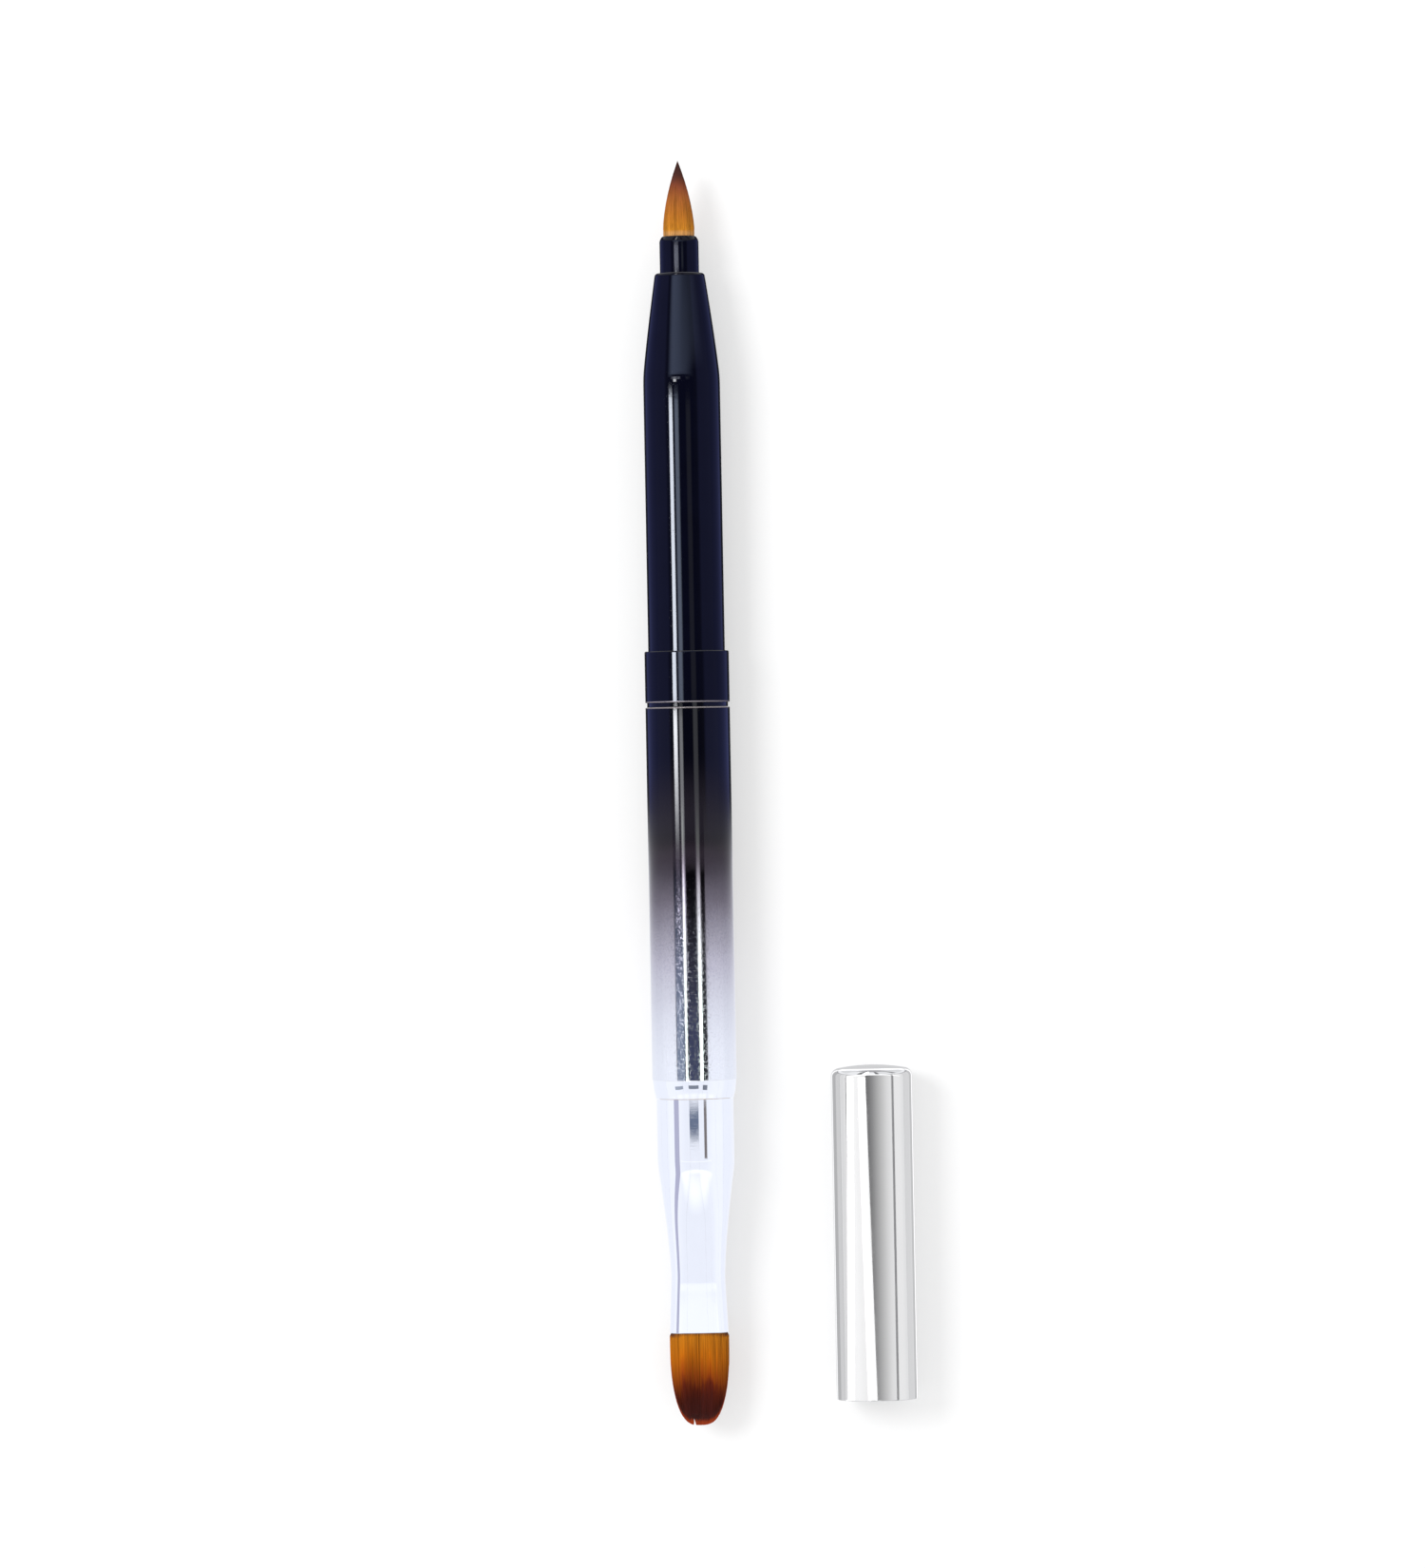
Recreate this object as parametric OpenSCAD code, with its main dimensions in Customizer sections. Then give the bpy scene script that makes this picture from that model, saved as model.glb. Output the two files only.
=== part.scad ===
// Double-ended nail brush: a pointed tuft inside a sliding sleeve, an oval tuft on a pressed ferrule,
// and a loose cap for the oval end. The brush lies along Y, with the pointed tuft towards +Y.
// The origin is on the brush's axis, in the groove between the collar and the handle tube.

/* [Handle] */
// Outside diameter of the handle tube and the collar
handle_d = 11; // [10.9:0.1:11.4]
// Length of the handle tube's lacquered outside
handle_len = 48.6; // [45:0.1:56]
// Length of the collar
collar_len = 6.7; // [6:0.1:9]
// Width of the groove between the collar and the handle tube
groove_w = 0.6; // [0.4:0.1:1]

/* [Sleeve] */
// Outside diameter of the sliding sleeve
sleeve_d = 10; // [9.9:0.05:10]
// Distance from the groove to the sleeve's nose when the sleeve is back
sleeve_front = 56.3; // [54:0.1:58]
// Length of the sleeve's taper
taper_len = 13.7; // [12:0.1:16]
// Outside diameter of the sleeve's nose
nose_d = 6.45; // [6.4:0.05:7]
// How far the sleeve slides forward
sleeve_travel = 16; // [15.8:0.1:16.4]

/* [Pointed tuft] */
// Outside diameter of the point ferrule
point_ferrule_d = 5.1; // [5:0.05:5.1]
// Distance from the groove to the point ferrule's mouth
point_ferrule_front = 61.1; // [60:0.1:61.1]
// Length of the pointed tuft outside its ferrule
point_hair_len = 9.9; // [8:0.1:9.9]

/* [Oval tuft] */
// Length of the rounded shoulder at the handle's tail
tail_ring_len = 2.4; // [2:0.1:3]
// Outside diameter of the oval ferrule's round band
ferrule_d = 10; // [9.9:0.05:10]
// Length of the oval ferrule's round band
ferrule_band_len = 8.7; // [8:0.1:10]
// Length of the oval ferrule behind its round band
ferrule_press_len = 21.9; // [20:0.1:24]
// Width of the oval ferrule at its waist
waist_w = 7; // [6.8:0.1:7.4]
// Width of the oval ferrule at its mouth
mouth_w = 7.65; // [7.5:0.05:7.8]
// Thickness of the oval ferrule at its mouth
mouth_t = 4.9; // [4.6:0.1:5.4]
// Length of the oval tuft outside its ferrule
oval_hair_len = 12.1; // [10:0.1:12.1]
// Greatest width of the oval tuft
oval_hair_w = 7.75; // [7.7:0.05:8]

/* [Cap] */
// Outside diameter of the cap
cap_d = 10.6; // [10.6:0.1:10.9]
// Wall of the cap
cap_wall = 0.27; // [0.2:0.01:0.27]
// Length of the cap
cap_len = 43.6; // [43.6:0.1:48]
// Distance from the brush's axis to the cap's axis
cap_aside = 23.1; // [20:0.1:40]

/* [Hidden] */
$fn = 96;

run_gap = 0.05;   // radial clearance between pieces that slide
glue_gap = 0.02;  // radial clearance between pieces that are fixed
ring_gap = 0.02;  // radial clearance of the rubber ring, which only just touches its bore
cut = 0.5;        // how far a cutter passes the face that it opens

// stations along Y
tube_front = -groove_w / 2;
tube_rear = tube_front - handle_len;
collar_rear = groove_w / 2;
collar_front = collar_rear + collar_len;
spigot_front = collar_front - 2;
sleeve_rear = -24;
taper_rear = sleeve_front - taper_len;
hair_root = point_ferrule_front - 9;
band_front = tube_rear - tail_ring_len;
band_rear = band_front - ferrule_band_len;
mouth_y = band_rear - ferrule_press_len;
oval_root = mouth_y + 12;
waist_y = band_rear - 0.676 * ferrule_press_len;

// radii shared by pieces that meet
handle_r = handle_d / 2;
sleeve_r = sleeve_d / 2;
tube_bore_r = sleeve_r + run_gap;
spigot_r = (handle_r + tube_bore_r) / 2;
sleeve_bore_r = sleeve_r - 0.4;
ferrule_r = ferrule_d / 2;
ferrule_wall = 0.35;
band_bore_r = ferrule_r - ferrule_wall;
point_r = point_ferrule_d / 2;
point_bore_r = point_r - ferrule_wall;
rod_r = point_bore_r - glue_gap;
nose_bore_r = 2.9;
edge = 0.12;      // chamfer of a thin edge

// the guide bush and its rubber ring, on the rod
stop_len = 4;
bush_rear = sleeve_rear + stop_len + sleeve_travel + run_gap;
bush_len = 6;
rubber_r = 0.55;
rubber_centre_r = sleeve_bore_r - ring_gap - rubber_r;
rubber_groove_w = 1.3;

plug_front = sleeve_rear - run_gap;
plug_len = 10;
rod_rear = plug_front - 8;
rod_front = 46;

// A solid of revolution about Y, from a profile of radius and station along Y
module turned() rotate([-90, 0, 0]) rotate_extrude() children();

// Points of an arc about (cx, cy), from angle a0 to angle a1
function arc(cx, cy, r, a0, a1, n = 12) =
    [for (i = [0:n]) [cx + r * cos(a0 + (a1 - a0) * i / n), cy + r * sin(a0 + (a1 - a0) * i / n)]];

// A ring or tube with chamfered outer ends
module ring(r_out, r_in, y0, y1, chamfer = edge) {
    turned() polygon([[r_in, y0], [r_out - chamfer, y0], [r_out, y0 + chamfer], [r_out, y1 - chamfer],
        [r_out - chamfer, y1], [r_in, y1]]);
}

module body_tube() {
    color("#3a3946") difference() {
        union() {
            ring(handle_r, tube_bore_r, tube_rear, tube_front);
            ring(spigot_r, tube_bore_r, tube_front - cut, spigot_front, 0.05);
        }
        turned() translate([0, tube_rear - cut]) square([tube_bore_r, spigot_front - tube_rear + 2 * cut]);
    }
}

module collar() {
    color("#0f1225") difference() {
        ring(handle_r, tube_bore_r, collar_rear, collar_front, 0.18);
        turned() translate([0, collar_rear - cut])
            square([spigot_r + glue_gap, spigot_front + glue_gap - collar_rear + cut]);
    }
}

module centre_plug() {
    color("#dcdcd6") difference() {
        ring(tube_bore_r - glue_gap, 0, plug_front - plug_len, plug_front, 0.4);
        turned() translate([0, rod_rear - glue_gap]) square([rod_r + glue_gap, plug_front - rod_rear + cut]);
    }
}

module rod() color("#b9bcc4") ring(rod_r, 0, rod_rear, rod_front, 0.3);

module guide_bush() {
    bush_mid = bush_rear + bush_len / 2;
    color("#dcdcd6") difference() {
        ring(sleeve_bore_r - run_gap, rod_r + glue_gap, bush_rear, bush_rear + bush_len, 0.25);
        turned() translate([rubber_centre_r - rubber_r - glue_gap, bush_mid - rubber_groove_w / 2])
            square([2, rubber_groove_w]);
    }
}

module friction_ring() {
    color("#26262a") turned() translate([rubber_centre_r, bush_rear + bush_len / 2]) circle(rubber_r);
}

module stop_ring() {
    color("#dcdcd6") ring(sleeve_bore_r - glue_gap, rod_r + run_gap, sleeve_rear, sleeve_rear + stop_len, 0.25);
}

// The sleeve: a straight tube, a slightly convex taper and a rounded nose
nose_round = 0.45;
nose_lip = 0.5;   // thickness of the lip in front of the nose bush
nose_bush_len = 4.6;
function taper_r(t) = nose_d / 2 + (sleeve_r - nose_d / 2) * (1 - pow(t, 1.15));

module sleeve_tube() {
    steps = 20;
    nose_end = 1 - nose_round / taper_len;
    outside = [for (i = [0:steps]) let (t = nose_end * i / steps) [taper_r(t), taper_rear + taper_len * t]];
    rounded = arc(taper_r(nose_end) - nose_round, sleeve_front - nose_round, nose_round, 15, 90, 6);
    bush_seat = sleeve_front - nose_lip - nose_bush_len;
    inside = [[point_r + 2 * run_gap, sleeve_front], [point_r + 2 * run_gap, sleeve_front - nose_lip],
        [nose_bore_r, sleeve_front - nose_lip], [nose_bore_r, bush_seat], [sleeve_bore_r, taper_rear - 0.6],
        [sleeve_bore_r, sleeve_rear]];
    color("#0c1023") turned()
        polygon(concat([[sleeve_r - edge, sleeve_rear], [sleeve_r, sleeve_rear + edge]], outside, rounded, inside));
}

module nose_bush() {
    front = sleeve_front - nose_lip - glue_gap;
    color("#2b2b30") ring(nose_bore_r - glue_gap, point_r + run_gap, front - nose_bush_len + 0.1, front, 0.1);
}

point_mouth_r = 2;
point_shoulder = 0.75;

module point_ferrule() {
    rear = rod_front - 10;
    shoulder_y = point_ferrule_front - point_shoulder;
    color("#0a0d1c") turned() polygon(concat(
        [[point_bore_r, rear], [point_r - edge, rear], [point_r, rear + edge]],
        [for (i = [0:8]) let (t = i / 8)
            [point_r - (point_r - point_mouth_r - 0.2) * pow(t, 1.7), shoulder_y + point_shoulder * t]],
        [[point_mouth_r, point_ferrule_front], [point_bore_r, shoulder_y]]));
}

// Thread wound round a tuft's root: a thin band with one ridge for each turn
tie_inset = 1;    // distance from the root's end to the thread
tie_turns = 4;
tie_pitch = 0.36;
tie_len = tie_turns * tie_pitch;
tie_depth = tie_pitch;

module point_tie() {
    outer_r = point_bore_r - run_gap;
    color("#e6dfcf") turned() {
        translate([outer_r - tie_depth, hair_root + tie_inset]) square([tie_depth / 2, tie_len]);
        for (i = [0:tie_turns - 1])
            translate([outer_r - tie_pitch / 2, hair_root + tie_inset + (i + 0.5) * tie_pitch])
                circle(tie_pitch / 2, $fn = 24);
    }
}

module point_resin() {
    color("#d9b36a") ring(point_bore_r - glue_gap, 0, rod_front + run_gap, hair_root - glue_gap, 0.05);
}

module point_hair() {
    root_r = point_bore_r - run_gap;
    tied_r = root_r - tie_depth - glue_gap;
    tie_rear = hair_root + tie_inset - run_gap;
    tie_front = hair_root + tie_inset + tie_len + run_gap;
    full_r = 2.1;
    steps = 24;
    root = [[0, hair_root], [root_r, hair_root], [root_r, tie_rear], [tied_r, tie_rear], [tied_r, tie_front],
        [root_r, tie_front], [root_r, point_ferrule_front - point_shoulder - 0.2],
        [point_mouth_r - run_gap, point_ferrule_front], [point_mouth_r, point_ferrule_front + 0.3]];
    // the tuft's outside swells from its mouth and then closes to a point
    tip = [for (i = [1:steps]) let (t = i / steps, y = 0.06 + 0.94 * t)
        [full_r * (1 - pow(y, 2.05)), point_ferrule_front + point_hair_len * y]];
    color("#b8742c") turned() polygon(concat(root, tip));
}

module tail_ring() {
    front_r = handle_r - 0.08;
    rear_r = ferrule_r + 0.05;
    steps = 12;
    color("#dfe4f0") turned() polygon(concat(
        [[band_bore_r, tube_rear - glue_gap], [front_r, tube_rear - glue_gap]],
        [for (i = [1:steps]) let (t = i / steps)
            [rear_r + (front_r - rear_r) * (1 - pow(t, 1.8)), tube_rear - tail_ring_len * t]],
        [[band_bore_r, band_front]]));
}

module tail_dowel() {
    color("#cfa873") turned() polygon([[0, band_rear + 0.3], [band_bore_r - glue_gap - 0.4, band_rear + 0.3],
        [band_bore_r - glue_gap, band_rear + 0.7], [band_bore_r - glue_gap, tube_rear],
        [tube_bore_r - glue_gap, tube_rear], [tube_bore_r - glue_gap, tube_rear + 9.5],
        [tube_bore_r - glue_gap - 0.5, tube_rear + 10], [0, tube_rear + 10]]);
}

// The oval ferrule's outer half width and half thickness at a station along Y
function press_half_w(y) = y > band_rear ? ferrule_r
    : y > waist_y ? waist_w / 2 + (ferrule_r - waist_w / 2) * pow((y - waist_y) / (band_rear - waist_y), 1.45)
    : waist_w / 2 + (mouth_w - waist_w) / 2 * (waist_y - y) / (waist_y - mouth_y);
press_end = band_rear - 16;
function press_half_t(y) = y > band_rear ? ferrule_r
    : y > press_end ? mouth_t / 2 + (ferrule_r - mouth_t / 2) * pow((y - press_end) / (band_rear - press_end), 1.8)
    : mouth_t / 2;

// The solid inside the oval ferrule's outer surface, moved inwards by inset, between two stations
module pressed_form(inset, y0, y1) {
    steps = max(2, ceil(abs(y1 - y0) / 0.75));
    stations = [for (i = [0:steps]) y0 + (y1 - y0) * i / steps];
    intersection() {
        turned() polygon(concat([[0, y0]], [for (y = stations) [press_half_w(y) - inset, y]], [[0, y1]]));
        // the two pressed faces, as an outline in the YZ plane
        rotate([90, 0, 90]) translate([0, 0, -handle_d]) linear_extrude(2 * handle_d) polygon(concat(
            [for (y = stations) [y, press_half_t(y) - inset]],
            [for (i = [steps:-1:0]) [stations[i], inset - press_half_t(stations[i])]]));
    }
}

module oval_ferrule() {
    color("#e6ebf6") difference() {
        union() {
            ring(ferrule_r, band_bore_r, band_rear, band_front - glue_gap, 0.05);
            pressed_form(0, mouth_y, band_rear);
        }
        turned() translate([0, band_rear]) square([band_bore_r, ferrule_band_len + cut]);
        pressed_form(ferrule_wall, mouth_y - cut, band_rear + glue_gap);
    }
}

module oval_resin() {
    color("#d9b36a") pressed_form(ferrule_wall + run_gap, oval_root + run_gap, oval_root + 5);
}

oval_tie_y = oval_root - tie_inset - tie_len;

module oval_tie() {
    color("#e6dfcf") difference() {
        union() {
            pressed_form(ferrule_wall + 2 * run_gap, oval_tie_y, oval_tie_y + tie_len);
            pressed_form(ferrule_wall + run_gap, oval_tie_y + tie_len / 3, oval_tie_y + 2 * tie_len / 3);
        }
        pressed_form(ferrule_wall + run_gap + tie_depth, oval_tie_y - cut, oval_tie_y + tie_len + cut);
    }
}

module oval_hair() {
    root_inset = ferrule_wall + run_gap;
    swell = 1;       // length over which the tuft spreads outside the mouth
    straight = 3;    // distance from the mouth at which the outline starts to close
    steps = 20;
    out = oval_hair_len;
    mouth_half = mouth_w / 2 - root_inset;
    // half width at a distance from the mouth: it spreads, then closes in a blunt oval
    function half_w(d) = d < swell ? mouth_half + (oval_hair_w / 2 - mouth_half) * sin(90 * d / swell)
        : d < straight ? oval_hair_w / 2
        : oval_hair_w / 2 * pow(max(0, 1 - pow((d - straight) / (out - straight), 1.9)), 0.37);
    function half_t(d) = 0.35 + (mouth_t / 2 - root_inset - 0.35) * pow(1 - pow(d / out, 2.2), 0.6);
    stations = [for (i = [0:steps]) out * (1 - pow(1 - i / steps, 1.5))];
    color("#9a5412") union() {
        difference() {
            pressed_form(root_inset, mouth_y, oval_root);
            difference() {
                pressed_form(root_inset - cut, oval_tie_y - run_gap, oval_tie_y + tie_len + run_gap);
                pressed_form(root_inset + tie_depth + glue_gap, oval_tie_y - cut, oval_tie_y + tie_len + cut);
            }
        }
        intersection() {
            turned() polygon(concat([[0, mouth_y]], [for (d = stations) [half_w(d), mouth_y - d]]));
            rotate([90, 0, 90]) translate([0, 0, -handle_d]) linear_extrude(2 * handle_d) polygon(concat(
                [for (d = stations) [mouth_y - d, half_t(d)]],
                [for (i = [steps:-1:0]) [mouth_y - stations[i], -half_t(stations[i])]]));
        }
    }
}

// The cap: a drawn cup with a rounded edge and a slightly domed end
cap_mid_y = -69.2;
cap_mouth_y = cap_mid_y - cap_len / 2;
cap_r = cap_d / 2;
cap_edge_r = 1.3;
dome_r = 40;
cap_z = cap_r - handle_r;   // the cap rests on the same surface as the handle

// The profile of a closed round bar whose end is a dome, joined to the side by a tangent round edge
module domed(r, len, edge_r, dome) {
    rise = sqrt(pow(dome - edge_r, 2) - pow(r - edge_r, 2));
    edge_y = len - dome + rise;
    reach = 1.2 * dome;
    intersection() {
        translate([0, -cut]) square([r, len + cut + 1]);
        union() {
            translate([0, -cut]) square([r, edge_y + cut]);
            translate([r - edge_r, edge_y]) circle(edge_r);
            intersection() {
                translate([0, len - dome]) circle(dome, $fn = 360);
                polygon([[0, len - dome], [reach * (r - edge_r) / rise, len - dome + reach], [0, len - dome + reach]]);
            }
        }
    }
}

module cap_shell() {
    color("#c9c9c9") translate([cap_aside, cap_mouth_y, cap_z]) turned() difference() {
        domed(cap_r, cap_len, cap_edge_r, dome_r);
        translate([0, -2 * cut]) square([2 * cap_r, 2 * cut]);
        domed(cap_r - cap_wall, cap_len - cap_wall, cap_edge_r - cap_wall, dome_r);
        // the mouth's inner edge is broken, to start the cap on its ferrule
        polygon([[0, 0], [cap_r - cap_wall + 0.1, 0], [cap_r - cap_wall, 0.1], [0, 0.1]]);
    }
}

body_tube();
collar();
centre_plug();
rod();
guide_bush();
friction_ring();
point_ferrule();
point_tie();
point_resin();
point_hair();
tail_ring();
tail_dowel();
oval_ferrule();
oval_tie();
oval_resin();
oval_hair();
sleeve_tube();
nose_bush();
stop_ring();
cap_shell();
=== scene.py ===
"""The looks of the double-ended nail brush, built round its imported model.

The brush lies along Y on a pale floor, its pointed tuft towards +Y, and the cap lies beside it towards +X.
Lengths in this script are millimetres, and MM turns them into Blender's metres.
"""
import math

import bmesh
import bpy
import numpy as np
from mathutils import Matrix, Vector


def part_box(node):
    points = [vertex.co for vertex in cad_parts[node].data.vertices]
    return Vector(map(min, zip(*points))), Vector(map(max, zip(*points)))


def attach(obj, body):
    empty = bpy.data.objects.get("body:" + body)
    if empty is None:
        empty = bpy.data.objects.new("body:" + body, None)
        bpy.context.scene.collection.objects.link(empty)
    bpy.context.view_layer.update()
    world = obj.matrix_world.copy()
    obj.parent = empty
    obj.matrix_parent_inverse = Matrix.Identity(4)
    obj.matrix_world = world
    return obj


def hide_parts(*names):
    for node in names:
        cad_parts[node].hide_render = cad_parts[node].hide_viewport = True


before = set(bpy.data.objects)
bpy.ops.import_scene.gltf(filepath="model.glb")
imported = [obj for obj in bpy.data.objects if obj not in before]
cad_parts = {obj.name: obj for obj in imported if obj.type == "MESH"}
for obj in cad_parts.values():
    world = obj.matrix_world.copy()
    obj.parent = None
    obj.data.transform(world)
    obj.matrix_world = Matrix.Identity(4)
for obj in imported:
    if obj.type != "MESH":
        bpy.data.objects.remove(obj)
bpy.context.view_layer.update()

MM = 0.001
ON_AXIS = 1e-6  # a radius that counts as none
scene = bpy.context.scene


# -------- sizes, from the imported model

def span(node):
    """The lowest and highest station of a CAD node along the brush, in mm."""
    low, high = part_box(node)
    return low.y / MM, high.y / MM


def half_width(node):
    """Half a CAD node's size in X, which is the radius of a round one, in mm."""
    low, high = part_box(node)
    return (high.x - low.x) / 2 / MM


def centre(node):
    """The x and z of a CAD node's axis, in mm."""
    low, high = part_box(node)
    return (low.x + high.x) / 2 / MM, (low.z + high.z) / 2 / MM


TUBE_REAR, SPIGOT_FRONT = span("body_tube")
HANDLE_R = half_width("body_tube")
COLLAR_REAR, COLLAR_FRONT = span("collar")
TUBE_FRONT = -COLLAR_REAR  # the groove is centred on the origin
SLEEVE_REAR, SLEEVE_FRONT = span("sleeve_tube")
SLEEVE_R = half_width("sleeve_tube")
RUN_GAP = 0.05  # radial clearance of a sliding fit
GLUE_GAP = 0.02  # radial clearance of a fixed fit
TUBE_BORE = SLEEVE_R + RUN_GAP
SPIGOT_R = (HANDLE_R + TUBE_BORE) / 2
SLEEVE_BORE = half_width("stop_ring") + GLUE_GAP
NOSE_SEAT = half_width("nose_bush") + GLUE_GAP
POINT_REAR, POINT_FRONT = span("point_ferrule")
POINT_R = half_width("point_ferrule")
POINT_BORE = half_width("point_resin") + GLUE_GAP
POINT_ROOT, POINT_TIP = span("point_hair")
RING_REAR = span("tail_ring")[0]
RING_R = half_width("tail_ring")
MOUTH_Y, BAND_FRONT = span("oval_ferrule")
FERRULE_R = half_width("oval_ferrule")
FERRULE_WALL = 0.35
BAND_BORE = FERRULE_R - FERRULE_WALL
OVAL_TIP, OVAL_ROOT = span("oval_hair")
OVAL_HALF_W = 3.82  # the tuft's greatest half width outside its ferrule
CAP_MOUTH, CAP_TOP = span("cap_shell")
CAP_R = half_width("cap_shell")
CAP_X, CAP_Z = centre("cap_shell")
TABLE_Z = -HANDLE_R


# -------- meshes

def rounded(corners, steps=5):
    """Points of an outline through corners (radius, station, rounding), each turned into a small curve."""
    points = []
    count = len(corners)
    for i, (r, y, rounding) in enumerate(corners):
        here = np.array([r, y], float)
        if rounding <= 0:
            points.append(tuple(here))
            continue
        back = np.array(corners[i - 1][:2], float) - here
        ahead = np.array(corners[(i + 1) % count][:2], float) - here
        reach = min(rounding, 0.45 * np.linalg.norm(back), 0.45 * np.linalg.norm(ahead))
        start = here + back / np.linalg.norm(back) * reach
        end = here + ahead / np.linalg.norm(ahead) * reach
        for k in range(steps + 1):
            t = k / steps
            points.append(tuple((1 - t) ** 2 * start + 2 * t * (1 - t) * here + t * t * end))
    return points


def supported(outline, closed, hold=0.03):
    """The outline with extra points near both ends of its long stretches, so that they shade as straight."""
    points = []
    count = len(outline)
    for i, here in enumerate(outline):
        points.append(here)
        if i == count - 1 and not closed:
            break
        ahead = outline[(i + 1) % count]
        length = math.dist(here, ahead)
        if length > 10 * hold:
            for share in (hold / length, 1 - hold / length):
                points.append(tuple(a + (b - a) * share for a, b in zip(here, ahead)))
    return points


def finish_mesh(name, bm):
    """A smooth-shaded object from a bmesh in mm, with its hard edges kept."""
    sharp = math.radians(32)
    bmesh.ops.recalc_face_normals(bm, faces=bm.faces)
    mesh = bpy.data.meshes.new(name)
    bm.to_mesh(mesh)
    bm.free()
    mesh.transform(Matrix.Scale(MM, 4))
    mesh.shade_smooth()
    mesh.set_sharp_from_angle(angle=sharp)
    return link_new(name, mesh)


def link_new(name, data):
    """A new object in the scene, from a mesh, a light or a camera."""
    made = bpy.data.objects.new(name, data)
    scene.collection.objects.link(made)
    return made


def skin(bm, rings, closed):
    """Faces between neighbouring rings of vertices. A ring of one vertex is a pole."""
    pairs = list(zip(rings, rings[1:]))
    if closed:
        pairs.append((rings[-1], rings[0]))
    for a, b in pairs:
        n = max(len(a), len(b))
        for i in range(n):
            j = (i + 1) % n
            if len(a) == 1:
                bm.faces.new((a[0], b[i], b[j]))
            elif len(b) == 1:
                bm.faces.new((a[i], b[0], a[j]))
            else:
                bm.faces.new((a[i], b[i], b[j], a[j]))


def lathe(name, outline, closed=True, axis=(0.0, 0.0), segments=192):
    """A solid of revolution about a line along Y at axis (x, z), from outline points (radius, station)."""
    bm = bmesh.new()
    rings = []
    for r, y in supported(outline, closed):
        if r < ON_AXIS:
            rings.append([bm.verts.new((axis[0], y, axis[1]))])
            continue
        turn = [2 * math.pi * i / segments for i in range(segments)]
        rings.append([bm.verts.new((axis[0] + r * math.cos(a), y, axis[1] + r * math.sin(a))) for a in turn])
    skin(bm, rings, closed)
    return finish_mesh(name, bm)


def oval_ring(bm, y, half_w, half_t, power, count=160):
    """A ring of vertices on a superellipse in the plane at station y."""
    ring = []
    for i in range(count):
        a = 2 * math.pi * i / count
        x, z = (math.copysign(abs(part) ** (2 / power), part) for part in (math.cos(a), math.sin(a)))
        ring.append(bm.verts.new((half_w * x, y, half_t * z)))
    return ring


def blurred(shape, y, reach):
    """The mean of a shape function over nine stations within reach of y, which softens its corners."""
    return sum(shape(y + reach * k / 4) for k in range(-4, 5)) / 9


def smoothstep(a, b, x):
    """Rises smoothly from 0 at a to 1 at b."""
    t = min(1.0, max(0.0, (x - a) / (b - a)))
    return t * t * (3 - 2 * t)


# -------- shader helpers

class Graph:
    """Short calls that add nodes to a tree and return their first output."""

    def __init__(self, tree):
        self.tree = tree

    def put(self, socket, value):
        """Links an output to a socket or sets its value, with an alpha of 1 if that is a colour."""
        if isinstance(value, bpy.types.NodeSocket):
            self.tree.links.new(value, socket)
        elif value is not None:
            socket.default_value = (*value, 1) if socket.type == "RGBA" else value

    def node(self, kind, *values, **settings):
        """Adds a node, sets its properties and its first inputs, and returns its outputs."""
        n = self.tree.nodes.new("ShaderNode" + kind)
        for name, setting in settings.items():
            setattr(n, name, setting)
        for socket, value in zip(n.inputs, values):
            self.put(socket, value)
        return n.outputs

    def vector(self, operation, a, b):
        return self.node("VectorMath", a, b, operation=operation)[0]

    def split(self, vector):
        return self.node("SeparateXYZ", vector)

    def math(self, operation, a, b=None, clamp=False):
        return self.node("Math", a, b, operation=operation, use_clamp=clamp)[0]

    def times(self, a, b):
        return self.math("MULTIPLY", a, b)

    def plus(self, a, b, clamp=False):
        return self.math("ADD", a, b, clamp)

    def minus(self, a, b):
        return self.math("SUBTRACT", a, b)

    def remap(self, value, low, high, out_low=0.0, out_high=1.0, smooth=True):
        curve = "SMOOTHSTEP" if smooth else "LINEAR"
        return self.node("MapRange", value, low, high, out_low, out_high, interpolation_type=curve)[0]

    def mix(self, share, a, b):
        n = self.tree.nodes.new("ShaderNodeMix")
        n.data_type = "RGBA"
        # inputs 6 and 7 and output 2 are the node's colour sockets
        for i, value in ((0, share), (6, a), (7, b)):
            self.put(n.inputs[i], value)
        return n.outputs[2]

    def ramp(self, share, stops):
        """A colour ramp through (position, colour) stops."""
        n = self.tree.nodes.new("ShaderNodeValToRGB")
        self.put(n.inputs[0], share)
        points = n.color_ramp.elements
        for i, (position, colour) in enumerate(stops):
            point = points[i] if i < len(points) else points.new(position)
            point.position = position
            point.color = (*colour, 1)
        return n.outputs[0]


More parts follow.
